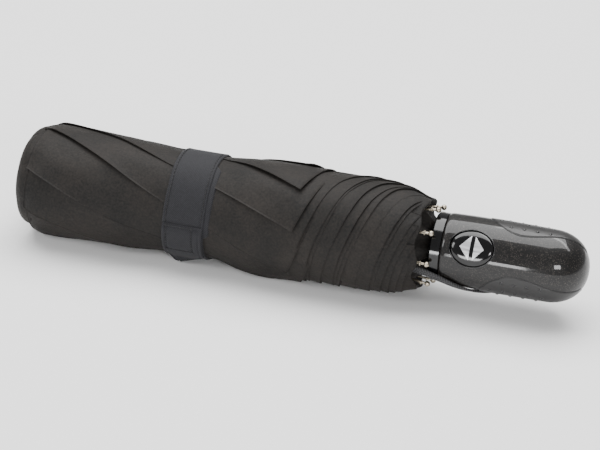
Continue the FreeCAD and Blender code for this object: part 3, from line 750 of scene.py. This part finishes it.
handleSizes = {
    "front": 79.0, "buttonTurn": 34.0, "buttonX": 95.2, "buttonHalf": (11.0, 9.0), "gap": 0.3,
    # place behind the front face, radius
    "barrel": [(0, 17.75), (2, 18.05), (12, 18.4), (26, 18.6), (40, 18.5), (54, 18.3), (74, 18.25)],
    "noseStart": 54.0, "noseLength": 20.0, "noseSquare": 2.15,
    "bore": [(68, 0.05), (64, 10.0), (57, 15.4), (40, 15.6), (20, 15.6), (5, 15.6), (0, 15.6)],
    "windowDepth": (9.0, 26.0), "buttonCrown": 19.25, "buttonSkirt": (16.6, 14.7),
    "rimStand": 0.25, "rimRadius": 18.35, "rimWire": 0.34,
    # each arrow's tip, its base and half its width there, from the button's centre
    "arrows": [(-6.2, -0.9, 6.3), (6.2, 1.1, 6.0)],
    # where each pad's edge runs: place along the shaft, degrees from the button's middle
    "seam": [(99.5, 84), (101, 72), (104, 58), (108, 46.5), (113, 37.5), (118, 34), (124, 36.5), (130, 41.5),
             (136, 46.5), (141, 51), (145, 56), (148, 62), (150.6, 74)],
    "dotRows": [(50, 112.0, 4), (71, 106.0, 5), (92, 109.3, 4), (113, 106.0, 5), (132, 112.0, 4)],
    "dotStep": 6.6, "dotRadius": 1.3,
}


def shellRadius(x):
    # smooth barrel with a rounded end; x from the handle's front face
    h = handleSizes
    x = np.asarray(x, float)
    barrel = np.interp(x, *zip(*h["barrel"]))
    nose = np.clip((x - h["noseStart"]) / h["noseLength"], 0, 1)
    edge = 0.75 * (1 - ease(x, 0, 1.1))
    return barrel * (1 - nose ** h["noseSquare"]) ** (1 / h["noseSquare"]) - edge


def lathe(name, stations, radii, finish, turns):
    # a form turned about the shaft axis
    t = np.linspace(0, 360, turns, endpoint=False)
    x, turn = np.meshgrid(stations, t, indexing="ij")
    r = np.repeat(np.asarray(radii)[:, None], turns, 1)
    points = around(x, r, turn).reshape(-1, 3) / 1000
    return build(name, points, grid(len(stations), turns, closed=True, flip=True), finish)


def handlePoint(x, theta, radius):
    # theta is measured from the middle of the push button
    return around(x, radius, np.asarray(theta, float) + handleSizes["buttonTurn"])


def makeShell():
    h = handleSizes
    tail = h["noseStart"] + h["noseLength"] * np.sin(np.linspace(0, 1, 60)[1:] * math.pi / 2)
    outerX = np.concatenate([[0, 0.15, 0.4, 0.8, 1.2], np.linspace(2, h["noseStart"], 52), tail])
    outerR = np.maximum(shellRadius(outerX), 0.05)
    innerX, innerR = (np.array(values, float) for values in zip(*h["bore"]))
    x = np.concatenate([outerX, innerX]) + h["front"]
    r = np.concatenate([outerR, innerR])
    shell = lathe("handleShell", np.append(x, x[0]), np.append(r, r[0]), finishes["lacquer"], 220)
    outward(shell)
    count = 96
    a = np.linspace(0, 2 * math.pi, count, endpoint=False)
    px = h["buttonX"] + (h["buttonHalf"][0] + h["gap"]) * np.cos(a)
    py = (h["buttonHalf"][1] + h["gap"]) * np.sin(a)
    ends = np.concatenate([raised(px, py, z) for z in h["windowDepth"]])
    faces = [tuple(range(count - 1, -1, -1)), tuple(range(count, 2 * count))]
    faces += [(i, (i + 1) % count, count + (i + 1) % count, count + i) for i in range(count)]
    cutter = build("windowCutter", ends / 1000, faces, finishes["lacquer"])
    outward(cutter)
    cut = shell.modifiers.new("window", "BOOLEAN")
    cut.object, cut.operation, cut.solver = cutter, "DIFFERENCE", "EXACT"
    settled(shell)
    bpy.data.objects.remove(cutter)
    shell.data.materials.clear()
    shell.data.materials.append(finishes["lacquer"])
    shell.data.set_sharp_from_angle(angle=math.radians(35))
    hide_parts("handle_shell")
    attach(shell, "root")


def raised(x, y, z, turn=handleSizes["buttonTurn"]):
    # a point over the button: x along the shaft, y across, z out from the shaft axis
    a = math.radians(turn)
    x, y, z = np.broadcast_arrays(np.asarray(x, float), y, z)
    return np.stack([x, -z * math.cos(a) + y * math.sin(a), axisMm + z * math.sin(a) + y * math.cos(a)], -1)


def seamAngle(x):
    xs, angles = zip(*handleSizes["seam"])
    fine = np.linspace(xs[0], xs[-1], 240)
    return np.interp(x, fine, smoothed(np.interp(fine, xs, angles), 17, mode="edge"))


def tubes(name, lines, radius, finish, sides=6):
    # thin round beads along lines of points, mm
    points, faces, start = [], [], 0
    a = np.linspace(0, 2 * math.pi, sides, endpoint=False)
    for line in lines:
        out, across = lineFrame(line, axisMm)
        section = out[:, None] * np.sin(a)[None, :, None] + across[:, None] * np.cos(a)[None, :, None]
        points.append((line[:, None] + radius * section).reshape(-1, 3) / 1000)
        faces += grid(len(line), sides, start=start, closed=True)
        capEnds(faces, len(line), sides, start)
        start += len(line) * sides
    obj = build(name, np.concatenate(points), faces, finish)
    outward(obj)
    return obj


def makePads():
    # one pad each side; its edge rolls under so that a fine seam shows against the shell
    h = handleSizes
    columns = 64
    first, last = h["seam"][0][0], h["seam"][-1][0]
    points, faces, start = [], [], 0
    for side in (1, -1):
        xs = first + (last - first) * (1 - np.cos(np.linspace(0, math.pi, 90))) / 2
        across = np.sin(np.linspace(-1, 1, columns) * math.pi / 2)
        x, v = np.meshgrid(xs, across, indexing="ij")
        reach = 90 - seamAngle(x)
        theta = 90 + reach * v
        base = shellRadius(x - h["front"])
        fromSeam = np.radians(reach * (1 - np.abs(v))) * base
        fromEnds = np.minimum(x - xs[0], xs[-1] - x) * 0.9
        edge = np.minimum(fromSeam, fromEnds)
        radius = base - 0.25 + 0.5 * ease(edge, 0, 0.75) - 0.35 * (1 - ease(edge, 0, 0.2))
        points.append(handlePoint(x, side * theta, radius).reshape(-1, 3) / 1000)
        faces += grid(len(xs), columns, start=start, flip=side > 0)
        start += x.size
    pads = build("gripPads", np.concatenate(points), faces, finishes["grip"])
    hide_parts("grip_pads")
    rows = []
    for angle, dotStart, count in h["dotRows"]:
        for side in (1, -1):
            x = dotStart + h["dotStep"] * np.arange(count)
            rows.append(handlePoint(x, np.full(count, side * angle), shellRadius(x - h["front"]) - 0.6))
    dots = repeated("gripDots", rows, dotTree, finishes["glossBlack"], Radius=h["dotRadius"])
    seams = []
    for side in (1, -1):
        x = np.linspace(first + 0.8, last, 150)
        for edge in (seamAngle(x), 180 - seamAngle(x)):
            seams.append(handlePoint(x, side * edge, shellRadius(x - h["front"]) + 0.02))
    seam = tubes("gripSeams", seams, 0.2, finishes["mattBlack"])
    for piece in (pads, dots, seam):
        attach(piece, "root")


def ovalRing(name, halfX, halfY, radius, tube, finish):
    # a thin rim that follows the shell round the button's window
    rounds, sides = 120, 12
    a = np.linspace(0, 2 * math.pi, rounds, endpoint=False)
    b = np.linspace(0, 2 * math.pi, sides, endpoint=False)
    big, small = np.meshgrid(a, b, indexing="ij")
    out = 1 + tube * np.cos(small) / halfX
    x = handleSizes["buttonX"] + halfX * out * np.cos(big)
    y = halfY * (1 + tube * np.cos(small) / halfY) * np.sin(big)
    z = np.sqrt(radius ** 2 - np.clip(y, -radius, radius) ** 2) + tube * np.sin(small)
    ring = build(name, raised(x, y, z).reshape(-1, 3) / 1000, ringGrid(rounds, sides), finish)
    outward(ring)
    return ring


def buttonTop(x, y):
    # height of the button's crown; x and y from its centre
    hx, hy = handleSizes["buttonHalf"]
    rho = np.sqrt((x / hx) ** 2 + (y / hy) ** 2)
    crown = np.sqrt(handleSizes["buttonCrown"] ** 2 - y ** 2)
    return crown - 0.12 * rho ** 2 - 0.95 * np.clip(rho, 0, 1) ** 14


def makeButton():
    h = handleSizes
    hx, hy = h["buttonHalf"]
    rho = np.concatenate([np.linspace(0.02, 0.9, 14), np.linspace(0.92, 1.0, 9)])
    columns = 120
    a = np.linspace(0, 2 * math.pi, columns, endpoint=False)
    big, turn = np.meshgrid(rho, a, indexing="ij")
    x, y = hx * big * np.cos(turn), hy * big * np.sin(turn)
    rows = [raised(h["buttonX"] + x, y, buttonTop(x, y))]
    for z in h["buttonSkirt"]:
        rows.append(raised(h["buttonX"] + x[-1:], y[-1:], np.minimum(z, buttonTop(x[-1:], y[-1:]) - 0.2)))
    points = np.concatenate(rows).reshape(-1, 3) / 1000
    faces = grid(len(rho) + 2, columns, closed=True)
    capEnds(faces, len(rho) + 2, columns)
    cap = build("pushButton", points, faces, finishes["glossBlack"])
    outward(cap)
    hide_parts("push_button")
    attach(cap, "push_button")
    points, faces, start, n = [], [], 0, 12
    for tip, base, half in h["arrows"]:
        for level in (0.0, 0.14):
            for i in range(n + 1):
                for j in range(n + 1):
                    x = tip + (base - tip) * i / n
                    y = half * (i / n) * (2 * j / n - 1)
                    points.append(raised(h["buttonX"] + x, y, buttonTop(x, y) - 0.1 + level))
        size = (n + 1) ** 2
        faces += grid(n + 1, n + 1, start=start) + grid(n + 1, n + 1, start=start + size, flip=True)
        rim = ([i * (n + 1) for i in range(n + 1)] + [n * (n + 1) + j for j in range(1, n + 1)]
               + [i * (n + 1) + n for i in range(n - 1, 0, -1)])
        for p, q in zip(rim, rim[1:] + rim[:1]):
            faces.append((start + p, start + q, start + q + size, start + p + size))
        start += 2 * size
    arrows = build("buttonArrows", np.array(points) / 1000, faces, finishes["silver"], smooth=False)
    outward(arrows)
    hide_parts("button_arrows")
    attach(arrows, "push_button")
    rim = ovalRing("buttonRim", hx + h["gap"] + h["rimStand"], hy + h["gap"] + h["rimStand"], h["rimRadius"],
                   h["rimWire"], finishes["glossBlack"])
    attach(rim, "root")


springSizes = {"coil": 4.2, "wire": 0.3, "base": 11.75, "height": 2.5, "turns": 2.5, "x": 95.0,
               "turn": 33.0}


def makeSpring():
    # return spring under the button; the real one shortens as the button goes in, this one keeps one length
    s = springSizes
    t = np.linspace(0, 1, 160)
    angle = 2 * math.pi * s["turns"] * t
    x, y, z = s["coil"] * np.cos(angle), s["coil"] * np.sin(angle), s["base"] + s["height"] * t
    line = raised(s["x"] + x, y, z, s["turn"])
    spring = tubes("buttonSpring", [line], s["wire"], finishes["ribNickel"], 8)
    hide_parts("button_spring")
    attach(spring, "root")
    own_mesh(spring)


makeShell()
makePads()
makeButton()
makeSpring()
print("stage: handle")


# wrist strap

# the route goes by place from the start, turn and height over the skin
webSizes = {"width": 4.2, "thick": 1.3, "start": 118.7, "skin": 18.6,
            "route": [(0, -104, 1.3), (-7.7, -100, 1.2), (-15.2, -84, 1.3), (-22.7, -62, 1.2),
                      (-30.7, -42, 1.0), (-38.7, -26, 1.1), (-48.0, -18, 0.5), (-60, -18, -1.2)]}


def makeWristStrap():
    w = webSizes
    route = [around(w["start"] + dx, w["skin"] + out, turn) / 1000 for dx, turn, out in w["route"]]
    curve = bpy.data.curves.new("strapLine", "CURVE")
    curve.dimensions = "3D"
    curve.resolution_u = 24
    spline = curve.splines.new("NURBS")
    spline.points.add(len(route) - 1)
    for point, place in zip(spline.points, route):
        point.co = (*place, 1)
    spline.order_u = 3
    spline.use_endpoint_u = True
    line = bpy.data.objects.new("strapLine", curve)
    bpy.context.scene.collection.objects.link(line)
    dg = bpy.context.evaluated_depsgraph_get()
    mesh = bpy.data.meshes.new_from_object(line.evaluated_get(dg))
    path = np.array([v.co for v in mesh.vertices])
    bpy.data.objects.remove(line)
    out, across = lineFrame(path, axisMm / 1000)
    sides = 20
    run = np.concatenate([[0], np.cumsum(np.linalg.norm(np.diff(path, axis=0), axis=1))])
    a = np.linspace(0, 2 * math.pi, sides, endpoint=False)
    sx = np.sign(np.cos(a)) * np.abs(np.cos(a)) ** 0.35 * w["width"] / 2000
    sy = np.sign(np.sin(a)) * np.abs(np.sin(a)) ** 0.6 * w["thick"] / 2000
    points = path[:, None] + across[:, None] * sx[None, :, None] + out[:, None] * sy[None, :, None]
    uv = np.stack([np.repeat(run[:, None], sides, 1), np.repeat(sx[None, :], len(path), 0)], -1)
    faces = grid(len(path), sides, closed=True)
    capEnds(faces, len(path), sides)
    strap = build("wristStrap", points.reshape(-1, 3), faces, finishes["webbing"], uv.reshape(-1, 2))
    outward(strap)
    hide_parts("wrist_strap")
    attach(strap, "root")
    print("wrist strap length", round(float(run[-1]), 4))


makeWristStrap()
print("stage: wrist strap")


# rib tips and the carried-over metal

tipSizes = {"x": 70.6, "side": -1.35, "out": 20.3, "ring": 1.0, "wire": 0.34, "firstRoll": 42.5}


def makeTipRings():
    # the small wire ring that the cloth is sewn to, one at each rib tip
    t = tipSizes
    rounds, sides = 24, 10
    a, b = np.meshgrid(np.linspace(0, 2 * math.pi, rounds, endpoint=False),
                       np.linspace(0, 2 * math.pi, sides, endpoint=False), indexing="ij")
    r = t["ring"] + t["wire"] * np.cos(b)
    x = t["x"] + t["wire"] * np.sin(b)
    y, z = t["side"] + r * np.cos(a), t["out"] + r * np.sin(a)
    for k in range(ribCount):
        roll = math.radians(t["firstRoll"] + 360 / ribCount * k)
        world = np.stack([x, y * math.cos(roll) - z * math.sin(roll),
                          axisMm + y * math.sin(roll) + z * math.cos(roll)], -1)
        ringPiece = build("tipRing_%d" % (k + 1), world.reshape(-1, 3) / 1000, ringGrid(rounds, sides),
                          finishes["ribNickel"])
        outward(ringPiece)
        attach(ringPiece, "outer_rib_%d" % (k + 1))


makeTipRings()
finishOf = {"outer_tube": "tube", "middle_tube": "tube", "inner_tube": "tube", "crown": "mattBlack",
            "runner": "mattBlack", "top_cap": "cap", "handle_collar": "glossBlack",
            "button_housing": "mattBlack", "outer_tube_bush": "mattBlack", "middle_tube_bush": "mattBlack",
            "strap_anchor": "glossBlack"}
for name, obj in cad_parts.items():
    kind = "ribNickel" if "rib_" in name or "stretcher" in name else finishOf.get(name)
    if kind:
        for slot in obj.material_slots:
            slot.material = finishes[kind]
print("stage: metal parts")
